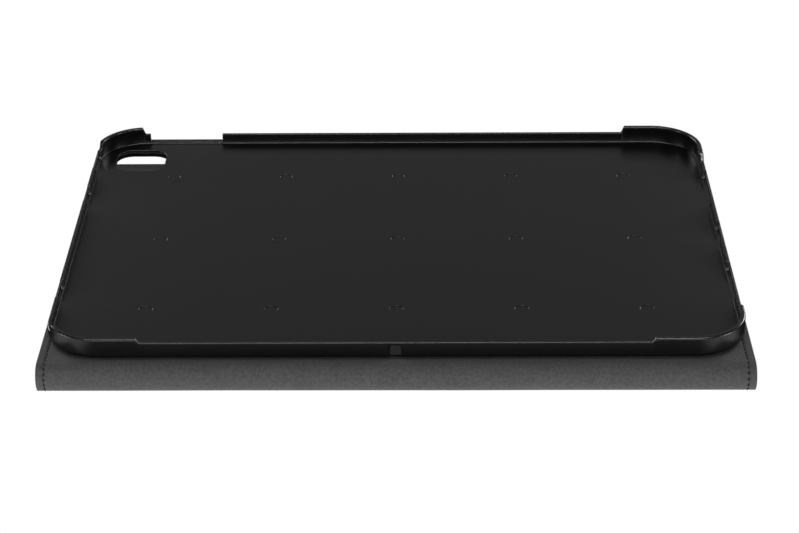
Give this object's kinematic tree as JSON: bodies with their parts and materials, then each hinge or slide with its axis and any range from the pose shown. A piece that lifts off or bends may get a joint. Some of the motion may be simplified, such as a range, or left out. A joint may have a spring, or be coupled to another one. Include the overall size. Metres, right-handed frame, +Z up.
{
  "type": "tablet folio case",
  "caption": "Folio case for a tablet, folded back on itself, with a moulded snap-in tray, fabric-lined panels and a soft spine that bends in a half-round loop.",
  "frame": {"origin": "middle of the footprint of the folded-back case, on the surface it lies on", "axes": "+X along the spine to the right, +Y from the spine to the far edge, +Z up out of the tray's mouth"},
  "size_m": [0.2534, 0.1894, 0.0191],
  "materials": {
    "tray_plastic": "black moulded polycarbonate, fine satin texture",
    "lining_fabric": "grey microfibre felt",
    "cover_skin": "black synthetic leather, fine grain",
    "board": "pressed fibre board",
    "thread": "black polyester thread",
    "magnet": "nickel plate",
    "adhesive": "acrylic sheet"
  },
  "bodies": {
    "tray_side": {"tray_shell": "tray_plastic", "tray_adhesive": "adhesive", "rear_lining": "lining_fabric", "rear_board_fixed": "board", "rear_board_prop": "board", "rear_skin": "cover_skin", "rear_thread": "thread"},
    "spine_upper": {"spine_lining_upper": "lining_fabric", "spine_skin_upper": "cover_skin", "spine_thread_upper": "thread"},
    "spine_middle": {"spine_lining_middle": "lining_fabric", "spine_skin_middle": "cover_skin", "spine_thread_middle": "thread"},
    "spine_lower": {"spine_lining_lower": "lining_fabric", "spine_skin_lower": "cover_skin", "spine_thread_lower": "thread"},
    "front_cover": {"front_lining": "lining_fabric", "front_board": "board", "front_skin": "cover_skin", "front_thread": "thread", "wake_magnets": "magnet", "closing_magnets": "magnet"}
  },
  "joints": [
    {"name": "rear_fold", "type": "hinge", "parent": "tray_side", "child": "spine_upper", "pos_m": [0, -0.09128, 0.0103], "axis": [-1, 0, 0], "range_deg": [0, 90]},
    {"name": "rear_fold_middle", "type": "hinge", "parent": "spine_upper", "child": "spine_middle", "pos_m": [0, -0.09413, 0.00746], "axis": [-1, 0, 0], "range_deg": [0, 90]},
    {"name": "front_fold_middle", "type": "hinge", "parent": "spine_middle", "child": "spine_lower", "pos_m": [0, -0.09413, 0.00344], "axis": [-1, 0, 0], "range_deg": [0, 90]},
    {"name": "front_fold", "type": "hinge", "parent": "spine_lower", "child": "front_cover", "pos_m": [0, -0.09128, 0.0006], "axis": [-1, 0, 0], "range_deg": [0, 90]}
  ]
}
